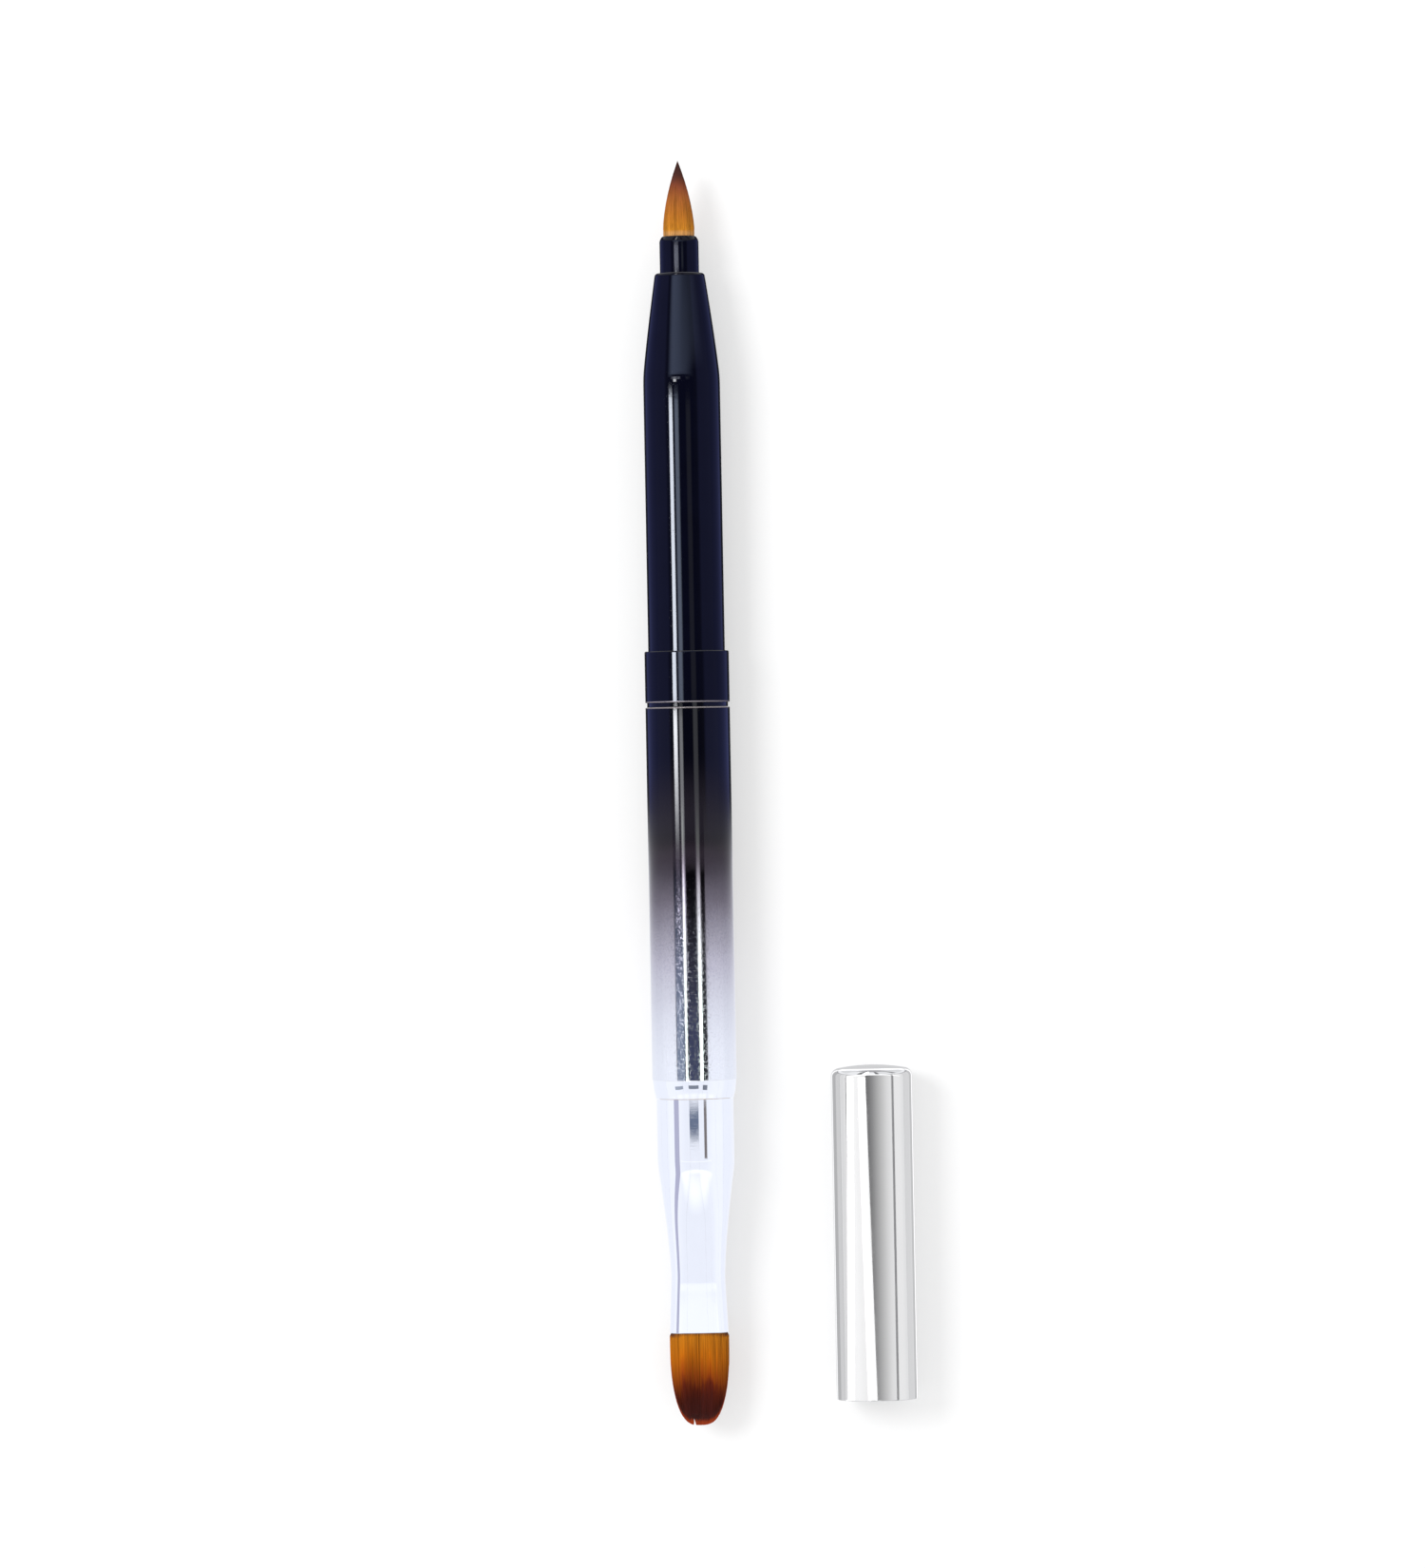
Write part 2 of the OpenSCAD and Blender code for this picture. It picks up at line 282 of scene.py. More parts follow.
class Look(Graph):
    """A material's node tree. Its coordinates are in mm, in the model's frame at rest."""

    def __init__(self, name):
        self.material = bpy.data.materials.new(name)
        self.material.use_nodes = True
        super().__init__(self.material.node_tree)
        self.bsdf = self.tree.nodes["Principled BSDF"]
        self.place = self.vector("MULTIPLY", self.node("TexCoord")["Object"], (1 / MM,) * 3)
        self.x, self.y, self.z = self.split(self.place)

    def radius(self, x0=0.0, z0=0.0):
        """The distance from a line along Y at (x0, z0)."""
        dx, dz = self.minus(self.x, x0), self.minus(self.z, z0)
        squares = self.times(dx, dx), self.times(dz, dz)
        return self.math("SQRT", self.plus(*squares))

    def noise(self, scale, detail=3.0, roughness=0.5, stretch=(1, 1, 1)):
        """Noise with scale features per mm, drawn out along each axis by the inverse of stretch."""
        n = self.tree.nodes.new("ShaderNodeTexNoise")
        self.put(n.inputs["Vector"], self.vector("MULTIPLY", self.place, stretch))
        for name, value in (("Scale", scale), ("Detail", detail), ("Roughness", roughness)):
            self.put(n.inputs[name], value)
        return n.outputs[0]

    def grey(self, value):
        """A value as a colour."""
        return self.node("CombineXYZ", value, value, value)[0]

    def attribute(self, name):
        """A value that the mesh carries at each vertex."""
        return self.node("Attribute", attribute_name=name)["Fac"]

    def bump(self, height, strength, distance_mm, below=None):
        """A bumped normal, on top of the bumps in the normal below."""
        n = self.tree.nodes.new("ShaderNodeBump")
        for name, value in (("Strength", strength), ("Distance", distance_mm * MM), ("Height", height),
                            ("Normal", below)):
            self.put(n.inputs[name], value)
        return n.outputs[0]

    def set(self, **values):
        """Sets sockets of the Principled shader, named with underscores for spaces."""
        for name, value in values.items():
            self.put(self.bsdf.inputs[name.replace("_", " ")], value)


# -------- materials

BLACK = (0.0008, 0.0009, 0.0030)
WARM_BLACK = (0.0095, 0.0080, 0.0120)  # lacquer just starting to thin
WORN = (0.17, 0.15, 0.155)  # metal showing through at a worn edge
SILVER = (0.90, 0.92, 0.985)
CHROME = (0.93, 0.93, 0.93)
LACQUER_IOR = 1.31


def lacquer_finish(look):
    """Fine orange peel, dust nibs and handling scuffs, shared by the lacquered tubes."""
    peel = look.noise(1.1, 2.0, 0.4)
    nibs = look.remap(look.noise(7.0, 1.0, 0.3), 0.74, 0.80)
    scuffs = look.remap(look.noise(0.9, 6.0, 0.7, stretch=(5, 0.35, 5)), 0.60, 0.78)
    normal = look.bump(peel, 0.10, 0.012)
    normal = look.bump(nibs, 0.35, 0.006, normal)
    rough = look.remap(scuffs, 0, 1, 0.045, 0.15, smooth=False)
    return normal, rough


def worn_edge(look):
    """How far the lacquer is worn off: only on the two turned corners beside the groove, and patchily."""
    near_groove = look.remap(look.math("ABSOLUTE", look.y), 0.50, 0.44)
    outside = look.remap(look.radius(), SPIGOT_R + 0.04, SPIGOT_R + 0.07)
    patches = look.remap(look.noise(2.2, 3.0), 0.25, 0.45, 0.55, 1.0)
    return look.times(look.times(near_groove, outside), patches)


def black_lacquer():
    look = Look("black_lacquer")
    normal, rough = lacquer_finish(look)
    tone = look.mix(look.noise(0.35, 3.0), BLACK, (0.0014, 0.0016, 0.0052))
    edge = worn_edge(look)
    look.set(Base_Color=look.mix(edge, tone, WORN), Metallic=look.times(edge, 0.4), IOR=LACQUER_IOR,
             Roughness=look.plus(rough, look.times(edge, 0.3)), Normal=normal)
    return look.material


def fading_lacquer():
    """Black lacquer sprayed over bright plate, thinning out towards the tail."""
    look = Look("fading_lacquer")
    normal, rough = lacquer_finish(look)
    drift = look.times(look.minus(look.noise(0.22, 2.0), 0.5), 1.6)
    bare = look.remap(look.plus(look.y, drift), TUBE_FRONT - 14.5, TUBE_REAR)
    # the thin edge of the spray breaks up into droplets, which are matt
    droplets = look.minus(look.noise(9.0, 2.0, 0.6), 0.5)
    part_covered = look.times(bare, look.minus(1.0, bare))
    grain = look.times(droplets, look.times(part_covered, 0.9))
    bare = look.plus(bare, grain, clamp=True)
    specks = look.remap(look.noise(5.0, 2.0, 0.6, stretch=(1, 0.7, 1)), 0.51, 0.60)
    rough = look.plus(rough, look.times(specks, look.remap(bare, 0.02, 0.45, 0.0, 0.18)))
    front = look.mix(look.remap(look.y, -6.0, -15.0), BLACK, WARM_BLACK)
    tone = look.ramp(bare, [(0.0, (0, 0, 0)), (0.07, (0.033, 0.025, 0.036)), (0.25, (0.187, 0.166, 0.203)),
                            (0.60, (0.56, 0.54, 0.62)), (1.0, SILVER)])
    tone = look.mix(look.remap(bare, 0.0, 0.04), front, tone)
    edge = worn_edge(look)
    metal = look.math("MAXIMUM", look.remap(bare, 0.0, 0.12), look.times(edge, 0.4))
    look.set(Base_Color=look.mix(edge, tone, WORN), Metallic=metal, IOR=LACQUER_IOR,
             Roughness=look.plus(rough, look.times(edge, 0.3)),
             Coat_Weight=0.5, Coat_IOR=1.3, Coat_Roughness=0.05,
             Normal=look.bump(look.times(droplets, part_covered), 0.9, 0.02, normal))
    return look.material


def plated_finish(look, tint, lines_along_y, base_rough):
    """Bright plating with faint polishing lines, a slight haze and a few fine scratches."""
    stretch = (6, 0.25, 6) if lines_along_y else (0.3, 14, 0.3)
    lines = look.noise(1.6, 4.0, 0.6, stretch=stretch)
    scratches = look.remap(look.noise(1.3, 8.0, 0.75, stretch=(9, 0.7, 9)), 0.66, 0.72)
    haze = look.noise(0.28, 4.0, 0.6)
    rough = look.plus(look.remap(haze, 0.3, 0.7, base_rough, base_rough * 1.9), look.times(scratches, 0.10))
    normal = look.bump(lines, 0.05, 0.008)
    normal = look.bump(scratches, 0.10, 0.003, normal)
    colour = look.mix(haze, tuple(0.95 * c for c in tint), tint)
    return colour, rough, normal


def bright_plate():
    look = Look("bright_plate")
    colour, rough, normal = plated_finish(look, SILVER, lines_along_y=False, base_rough=0.022)
    look.set(Base_Color=colour, Metallic=1.0, Roughness=rough, Normal=normal)
    return look.material


def cap_plate():
    """Chrome outside, and the dull drawn metal of the bore, with painted shade that darkens it with depth."""
    look = Look("cap_plate")
    colour, rough, normal = plated_finish(look, CHROME, lines_along_y=True, base_rough=0.045)
    bore = look.remap(look.radius(CAP_X, CAP_Z), CAP_R - 0.12, CAP_R - 0.20)
    bore = look.times(bore, look.remap(look.y, CAP_MOUTH + 0.05, CAP_MOUTH + 0.4))
    # the closed end's outside has a small radius too, but faces +Y
    facing = look.split(look.node("TexCoord")["Normal"])[1]
    bore = look.times(bore, look.math("LESS_THAN", facing, 0.05))
    # painted shade: the bore runs from dull grey metal at the mouth to near black deep inside
    painted_depth_shade = look.remap(look.y, CAP_MOUTH, CAP_MOUTH + 30)
    drawn_metal_and_depth_shade = look.mix(painted_depth_shade, (0.42, 0.42, 0.43), (0.035, 0.035, 0.037))
    look.set(Base_Color=look.mix(bore, colour, drawn_metal_and_depth_shade), Metallic=1.0, Normal=normal,
             Roughness=look.plus(rough, look.times(bore, 0.22)))
    return look.material


def grained(name, dark, pale, noise, rough, bump, **more):
    """A material that goes from dark to pale with one noise, and whose roughness and bump follow it too."""
    look = Look(name)
    grain = look.noise(*noise)
    look.set(Base_Color=look.mix(grain, dark, pale), Roughness=look.remap(grain, 0.3, 0.7, *rough),
             Normal=look.bump(grain, *bump), **more)
    return look.material


def bare_aluminium():
    return grained("bare_aluminium", (0.623, 0.631, 0.648), (0.76, 0.77, 0.79),
                   (1.0, 3.0, 0.6, (0.2, 16, 0.2)), (0.22, 0.36), (0.25, 0.02), Metallic=1.0)


def soft_rubber():
    return grained("rubber", (0.012, 0.012, 0.013), (0.03, 0.03, 0.032), (9.0, 3.0, 0.6), (0.55, 0.75),
                   (0.3, 0.02))


def set_resin():
    return grained("resin", (0.50, 0.27, 0.06), (0.72, 0.46, 0.15), (0.9, 4.0, 0.6), (0.12, 0.12),
                   (0.15, 0.05), Subsurface_Weight=0.25)


def waxed_thread():
    return grained("thread", (0.62, 0.55, 0.42), (0.86, 0.80, 0.68), (4.0, 3.0, 0.6, (1, 2.5, 1)),
                   (0.5, 0.75), (0.5, 0.05), Sheen_Weight=0.3)


def moulded_plastic(name, colour):
    look = Look(name)
    grain = look.noise(3.5, 4.0, 0.6)
    flow = look.noise(0.5, 2.0)
    look.set(Base_Color=look.mix(flow, tuple(0.86 * c for c in colour), colour),
             Roughness=look.remap(grain, 0.3, 0.7, 0.38, 0.55), Subsurface_Weight=0.08,
             Normal=look.bump(grain, 0.2, 0.02))
    return look.material


def dowel_wood():
    look = Look("dowel_wood")
    grain = look.noise(0.9, 6.0, 0.65, stretch=(2.2, 0.12, 2.2))
    pores = look.remap(look.noise(3.0, 3.0, 0.6, stretch=(3, 0.2, 3)), 0.60, 0.72)
    colour = look.ramp(grain, [(0.30, (0.34, 0.19, 0.08)), (0.50, (0.56, 0.35, 0.17)),
                               (0.72, (0.70, 0.48, 0.27))])
    look.set(Base_Color=look.mix(look.times(pores, 0.5), colour, (0.22, 0.11, 0.05)),
             Roughness=look.remap(grain, 0.3, 0.7, 0.5, 0.68), Normal=look.bump(grain, 0.3, 0.04))
    return look.material


def tuft_hair(name, stops, painted_tip_glow, flame, rise=(0.0, 0.0, 1.0)):
    """Hair coloured along its length.

    flame is how far the colour change wanders from strand to strand, but for the first of the length.
    rise is how much nearer the root the change comes round one x, as (share of length, x, half width in mm).
    """
    look = Look(name)
    along, strand, tip = (look.attribute(a) for a in ("along", "strand", "tip"))
    clump = look.noise(1.25, 3.0, 0.55, stretch=(1, 0.05, 1))
    fine = look.minus(strand, 0.5)
    shift = look.plus(look.times(look.minus(clump, 0.5), flame), look.times(fine, 0.25 * flame))
    share, rise_x, rise_half = rise
    from_rise = look.math("ABSOLUTE", look.minus(look.x, rise_x))
    shift = look.plus(shift, look.remap(from_rise, rise_half, 0, 0, share))
    shift = look.times(shift, look.remap(along, 0.06, 0.32))
    colour = look.ramp(look.plus(along, shift, clamp=True), stops)
    shade = look.plus(look.remap(clump, 0.3, 0.7, 0.72, 1.22), look.times(fine, 0.5))
    colour = look.vector("MULTIPLY", colour, look.grey(shade))
    # painted light: near its tip the hair takes a lighter glow colour, as if light shone through the thin
    # ends
    colour = look.mix(look.remap(tip, 0.75, 0.05), colour, painted_tip_glow)
    look.set(Base_Color=colour, Roughness=look.remap(strand, 0, 1, 0.34, 0.5, smooth=False),
             Specular_IOR_Level=0.10,
             Normal=look.bump(look.noise(14.0, 2.0, 0.5, stretch=(1, 0.04, 1)), 0.35, 0.03))
    return look.material


def point_hair():
    """Golden hair, pale at the root and dark at its point."""
    return tuft_hair("point_hair", [
        (0.00, (0.60, 0.32, 0.13)), (0.040, (0.56, 0.28, 0.09)), (0.08, (0.50, 0.195, 0.016)),
        (0.25, (0.43, 0.150, 0.016)), (0.50, (0.34, 0.105, 0.022)), (0.66, (0.22, 0.055, 0.022)),
        (0.79, (0.080, 0.024, 0.017)), (1.00, (0.030, 0.013, 0.012))],
        painted_tip_glow=(0.07, 0.024, 0.014), flame=0.26)


def oval_hair():
    """Orange hair with a painted shadow line at the root, where it leaves the ferrule, and a dark red end,
    highest left of the middle.
    """
    # the first two stops are a painted shadow where the hair leaves the ferrule's mouth
    return tuft_hair("oval_hair", [
        (0.00, (0.095, 0.030, 0.024)), (0.026, (0.12, 0.038, 0.020)), (0.055, (0.47, 0.155, 0.006)),
        (0.30, (0.44, 0.118, 0.002)), (0.50, (0.27, 0.050, 0.002)), (0.62, (0.100, 0.012, 0.003)),
        (0.80, (0.050, 0.007, 0.004)), (1.00, (0.045, 0.006, 0.004))],
        painted_tip_glow=(0.42, 0.050, 0.005), flame=0.50, rise=(0.12, -0.9, 2.2))


# -------- tubes, collar and cap

def make_body_tube():
    outline = rounded([
        (HANDLE_R, TUBE_REAR, 0.05), (HANDLE_R, TUBE_FRONT, 0.14), (SPIGOT_R, TUBE_FRONT, 0.03),
        (SPIGOT_R, SPIGOT_FRONT, 0.06), (TUBE_BORE, SPIGOT_FRONT, 0.03), (TUBE_BORE, TUBE_REAR, 0.04)])
    return lathe("lacquered_body_tube", outline)


def make_collar():
    step = SPIGOT_FRONT + GLUE_GAP
    outline = rounded([
        (HANDLE_R, COLLAR_REAR, 0.14), (HANDLE_R, COLLAR_FRONT, 0.20), (TUBE_BORE, COLLAR_FRONT, 0.10),
        (TUBE_BORE, step, 0), (SPIGOT_R + GLUE_GAP, step, 0), (SPIGOT_R + GLUE_GAP, COLLAR_REAR, 0.03)])
    return lathe("lacquered_collar", outline)


def make_sleeve_tube():
    """Straight tube, slightly convex taper, rounded nose with a lip in front of the nose bush."""
    taper_len, nose_r, nose_round, lip = 13.7, 3.225, 0.45, 0.5
    taper_rear = SLEEVE_FRONT - taper_len
    bush_rear = span("nose_bush")[0]

    def profile(y):
        t = max(0.0, (y - taper_rear) / taper_len)
        return nose_r + (SLEEVE_R - nose_r) * (1 - t ** 1.15)

    stations = np.linspace(taper_rear - 1.0, SLEEVE_FRONT - nose_round, 44)
    outside = [(blurred(profile, y, 0.9), y) for y in stations]
    curl_r, curl_y = outside[-1][0] - nose_round, SLEEVE_FRONT - nose_round
    curl = [(curl_r + nose_round * math.cos(a), curl_y + nose_round * math.sin(a))
            for a in (math.radians(d) for d in range(12, 91, 13))]
    mouth = POINT_R + 2 * RUN_GAP
    inside = rounded([
        (mouth, SLEEVE_FRONT, 0.08), (mouth, SLEEVE_FRONT - lip, 0), (NOSE_SEAT, SLEEVE_FRONT - lip, 0),
        (NOSE_SEAT, bush_rear - 0.1, 0), (SLEEVE_BORE, taper_rear - 0.6, 0), (SLEEVE_BORE, SLEEVE_REAR, 0.04),
        (SLEEVE_R, SLEEVE_REAR, 0.12)])
    return lathe("lacquered_sleeve", outside + curl + inside)


def make_point_ferrule():
    """A thin tube whose mouth is rolled in round the tuft."""
    mouth_r, rim_r, shoulder = 2.0, 2.2, 0.75
    rim = [(POINT_R - (POINT_R - rim_r) * t ** 1.7, POINT_FRONT - shoulder * (1 - t))
           for t in (i / 12 for i in range(12))]
    inside = rounded([
        (rim_r, POINT_FRONT, 0.07), (mouth_r, POINT_FRONT, 0.05), (POINT_BORE, POINT_FRONT - shoulder, 0),
        (POINT_BORE, POINT_REAR, 0.04), (POINT_R, POINT_REAR, 0.10)])
    return lathe("lacquered_point_ferrule", rim + inside)


def make_tail_ring():
    """A ring whose outside rounds down from the handle tube to the oval ferrule."""
    rear_r = FERRULE_R + 0.05
    front = TUBE_REAR - GLUE_GAP
    curve = [(rear_r + (RING_R - rear_r) * (1 - t ** 1.8), front + (RING_REAR - front) * t)
             for t in (i / 20 for i in range(1, 20))]
    corners = rounded([(BAND_BORE, RING_REAR, 0.03), (BAND_BORE, front, 0.03), (RING_R, front, 0.05)])
    rear_edge = [(rear_r + 0.01, RING_REAR + 0.02), (rear_r - 0.05, RING_REAR)]
    return lathe("plated_tail_ring", corners + curve + rear_edge)


def make_cap():
    """A drawn cup: straight wall, round edge tangent to a slightly domed end, and a broken mouth edge."""
    wall, edge_r, dome_r = 0.27, 1.1, 24.0

    def dome_path(r, top, edge):
        """From the side of the cap to the middle of its end."""
        lean = math.asin((r - edge) / (dome_r - edge))
        middle = top - dome_r
        edge_y = middle + (dome_r - edge) * math.cos(lean)
        side = [(r - edge + edge * math.cos(a), edge_y + edge * math.sin(a))
                for a in np.linspace(0, math.pi / 2 - lean, 14)]
        end = [(dome_r * math.sin(a), middle + dome_r * math.cos(a)) for a in np.linspace(lean, 0, 8)[1:]]
        return side + end

    inner_r = CAP_R - wall
    outer = dome_path(CAP_R, CAP_TOP, edge_r)
    inner = dome_path(inner_r, CAP_TOP - wall, edge_r - wall)
    lip = [(inner_r, CAP_MOUTH + 0.14), (inner_r + 0.02, CAP_MOUTH + 0.06), (inner_r + 0.08, CAP_MOUTH),
           (CAP_R - 0.08, CAP_MOUTH), (CAP_R - 0.02, CAP_MOUTH + 0.03), (CAP_R, CAP_MOUTH + 0.10)]
    outline = inner[::-1] + lip + outer
    return lathe("plated_cap", outline, closed=False, axis=(CAP_X, CAP_Z), segments=224)


# -------- pressed ferrule

BAND_REAR = BAND_FRONT - 8.7  # the round band, which the cap goes over
PRESS_LEN = BAND_REAR - MOUTH_Y
WAIST_Y = BAND_REAR - 0.676 * PRESS_LEN
WAIST_HALF_W = 3.5
MOUTH_HALF_W = 3.825
MOUTH_HALF_T = 2.45


def ferrule_half_w(y):
    """Outer half width of the pressed ferrule: round band, waist, slight flare at the mouth."""
    if y > BAND_REAR:
        return FERRULE_R
    if y > WAIST_Y:
        t = (y - WAIST_Y) / (BAND_REAR - WAIST_Y)
        ease = 1 - 0.10 * smoothstep(0.75, 1, t) * (1 - t)
        return WAIST_HALF_W + (FERRULE_R - WAIST_HALF_W) * t ** 1.45 * ease
    t = (WAIST_Y - y) / (WAIST_Y - MOUTH_Y)
    return WAIST_HALF_W + (MOUTH_HALF_W - WAIST_HALF_W) * t


def ferrule_half_t(y):
    """Outer half thickness: the two pressed faces close in from the band and run flat to the mouth."""
    press_end = BAND_REAR - 16
    t = min(1.0, max(0.0, (y - press_end) / (BAND_REAR - press_end)))
    return MOUTH_HALF_T + (FERRULE_R - MOUTH_HALF_T) * t ** 1.8


def make_oval_ferrule():
    """A thin shell whose section goes from a circle at the band to a flat superellipse at the mouth."""
    stations = np.concatenate([np.linspace(BAND_FRONT - 0.05, BAND_REAR + 1.5, 10),
                               np.linspace(BAND_REAR + 1.2, MOUTH_Y + 0.06, 90)])

    def section(y, inset):
        flat = smoothstep(BAND_REAR + 0.5, BAND_REAR - 9, y)
        w, t = (blurred(f, y, 0.8) for f in (ferrule_half_w, ferrule_half_t))
        return y, w - inset, t - inset, 2.0 + 0.75 * flat

    bm = bmesh.new()
    outer = [oval_ring(bm, *section(y, 0.0)) for y in stations]
    rim = [oval_ring(bm, MOUTH_Y, *section(MOUTH_Y, inset)[1:]) for inset in (0.06, FERRULE_WALL - 0.06)]
    inner = [oval_ring(bm, *section(y, FERRULE_WALL)) for y in stations[::-1]]
    skin(bm, outer + rim + inner, closed=True)
    return finish_mesh("plated_oval_ferrule", bm)


# -------- tufts

STRAND_START = -1.2  # strands start this far inside their ferrule's mouth
CORE_SHARE = 0.93  # how much of a tuft's half width and half thickness its core fills


def strand_stations(end):
    """Distances out of the ferrule along each strand, as shares of its length and in mm."""
    t = np.linspace(0, 1, 9)[None, :] ** 0.9
    return t, STRAND_START + (end[:, None] - STRAND_START) * t


def ring_quads(numbers):
    """Faces between neighbouring rings of vertices. The last two axes of numbers are ring and side."""
    back, front = numbers[..., :-1, :], numbers[..., 1:, :]
    corners = [back, np.roll(back, -1, axis=-1), np.roll(front, -1, axis=-1), front]
    return np.stack(corners, axis=-1).reshape(-1, 4)


def tuft(name, core, paths, radii, out, end, length, strand):
    """One closed mesh: a smooth core (rings of points) under many fine closed strands with four sides.

    paths is strands x stations x 3 in mm. radii, and out, how far out of the ferrule each station lies, are
    strands x stations. end is where each strand stops, and length the whole tuft's.
    """
    count, stations = radii.shape
    along = np.clip(out / length, 0, 1)
    tip = np.maximum(end[:, None] - out, 0)
    sides = 4
    core_tip, core_strand = 9.0, 0.35  # the core is far from any tip, and darker than most strands
    turn = 2 * np.pi * (np.arange(sides) + 0.5) / sides + np.pi * strand[:, None, None]
    points = np.repeat(paths[:, :, None, :], sides, axis=2)
    points[..., 0] += np.cos(turn) * radii[:, :, None]
    points[..., 2] += np.sin(turn) * radii[:, :, None]
    verts = points.reshape(-1, 3)
    numbers = np.arange(len(verts)).reshape(count, stations, sides)
    faces = np.concatenate([ring_quads(numbers), numbers[:, 0, ::-1], numbers[:, -1]]).tolist()

    core_verts, core_faces, core_along = core
    faces += [[i + len(verts) for i in face] for face in core_faces]
    verts = np.concatenate([verts, np.array(core_verts, float)]) * MM
    mesh = bpy.data.meshes.new(name)
    mesh.from_pydata(verts.tolist(), [], faces)
    extra = len(core_verts)
    per_vertex = {
        "along": np.concatenate([np.repeat(along.ravel(), sides), core_along]),
        "tip": np.concatenate([np.repeat(tip.ravel(), sides), np.full(extra, core_tip)]),
        "strand": np.concatenate([np.repeat(strand, stations * sides), np.full(extra, core_strand)]),
    }
    for label, values in per_vertex.items():
        mesh.attributes.new(label, "FLOAT", "POINT").data.foreach_set("value", values.astype(np.float32))
    mesh.update()
    bm = bmesh.new()
    bm.from_mesh(mesh)
    bmesh.ops.recalc_face_normals(bm, faces=bm.faces)
    bm.to_mesh(mesh)
    bm.free()
    mesh.shade_smooth()
    return link_new(name, mesh)


def core_rings(sections, sides=64):
    """A closed core through sections (station, half width, half thickness, along), with flat ends."""
    turn = [2 * math.pi * i / sides for i in range(sides)]
    verts = [(w * math.cos(a), y, t * math.sin(a)) for y, w, t, _ in sections for a in turn]
    along = np.repeat([share for *_, share in sections], sides)
    numbers = np.arange(len(verts)).reshape(-1, sides)
    faces = ring_quads(numbers).tolist() + [numbers[0, ::-1].tolist(), numbers[-1].tolist()]
    return verts, faces, along


def make_point_tuft(rng):
    """A round tuft: it leaves its ferrule a little narrow, swells, then closes to one point."""
    length = POINT_TIP - POINT_FRONT
    full_r, mouth_r, count = 2.04, 1.93, 2600

    def outer_r(d):
        t = np.clip(d / length, 0, 1)
        body = full_r * (1 - t ** 1.78)
        pinch = (full_r - mouth_r) * np.exp(-(np.maximum(d, 0) / 0.5) ** 2)
        return np.maximum(body - pinch, 0.0)

    turn = rng.uniform(0, 2 * np.pi, count)
    share = 1 - 0.16 * rng.random(count) ** 1.5  # how near the outside a strand lies
    end = length * (1 - 0.34 * rng.random(count) ** 2.2)  # how far along it stops
    t, d = strand_stations(end)
    r = outer_r(d) * share[:, None]
    wander = turn[:, None] + 0.05 * np.sin(5 * turn)[:, None] * t
    paths = np.stack([r * np.cos(wander), POINT_FRONT + d, r * np.sin(wander)], axis=-1)
    thick = (0.052 + 0.018 * rng.random(count))[:, None] * (1 - 0.80 * t ** 3)
    thick = np.minimum(thick, 0.004 + 0.35 * outer_r(d))
    root_r, thinnest = POINT_BORE - RUN_GAP, 0.02
    sections = [(POINT_ROOT, root_r, root_r, 0.0), (POINT_FRONT - 1.3, root_r, root_r, 0.0)]
    for out in np.linspace(STRAND_START, 0.97 * length, 22):
        core_r = max(CORE_SHARE * float(outer_r(out)), thinnest)
        sections.append((POINT_FRONT + out, core_r, core_r, max(0.0, out / length)))
    return tuft("point_tuft", core_rings(sections, 48), paths, thick, d, end, length, rng.random(count))


